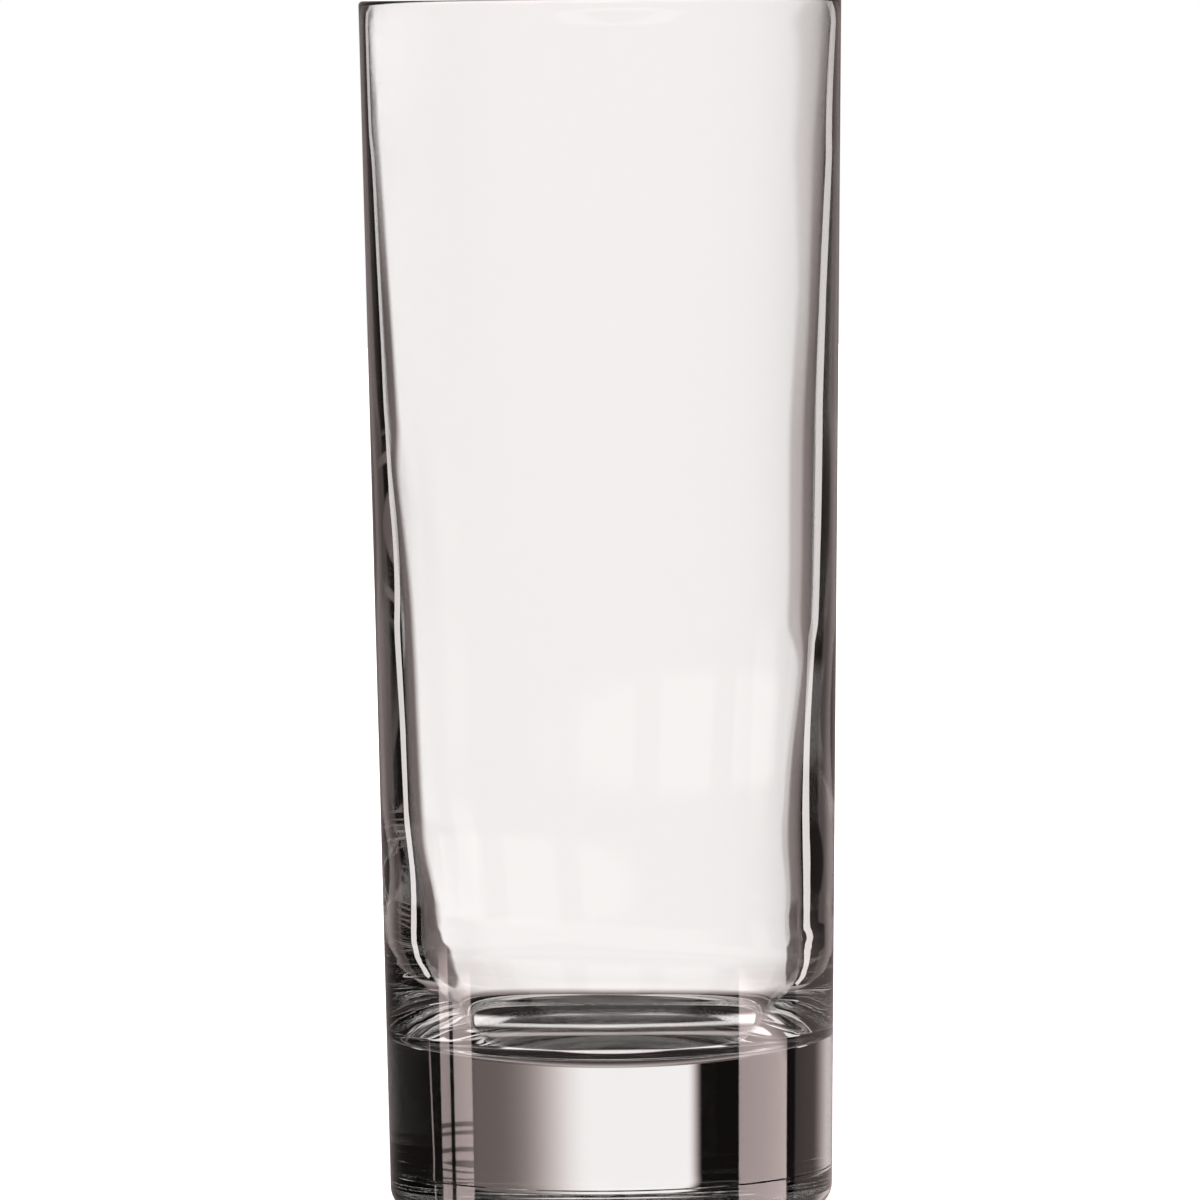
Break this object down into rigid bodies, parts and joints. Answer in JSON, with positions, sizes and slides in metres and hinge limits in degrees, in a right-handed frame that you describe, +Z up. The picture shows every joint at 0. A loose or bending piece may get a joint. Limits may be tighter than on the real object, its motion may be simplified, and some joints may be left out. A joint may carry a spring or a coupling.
{
  "type": "highball glass",
  "caption": "Straight, slightly tapered clear drinking glass with a fire-polished rim, a wall that thickens downwards, a dished floor and a heavy solid base with a rounded heel.",
  "frame": {"origin": "middle of the plane that the glass stands on", "axes": "+Z up along the axis of the glass, +X to the right and +Y away from the viewer of the picture"},
  "size_m": [0.062, 0.062, 0.156],
  "materials": {
    "clear_glass": "clear fire-polished soda-lime glass"
  },
  "bodies": {
    "root": {"rim": "clear_glass", "wall": "clear_glass", "base": "clear_glass", "foot": "clear_glass"}
  },
  "joints": []
}
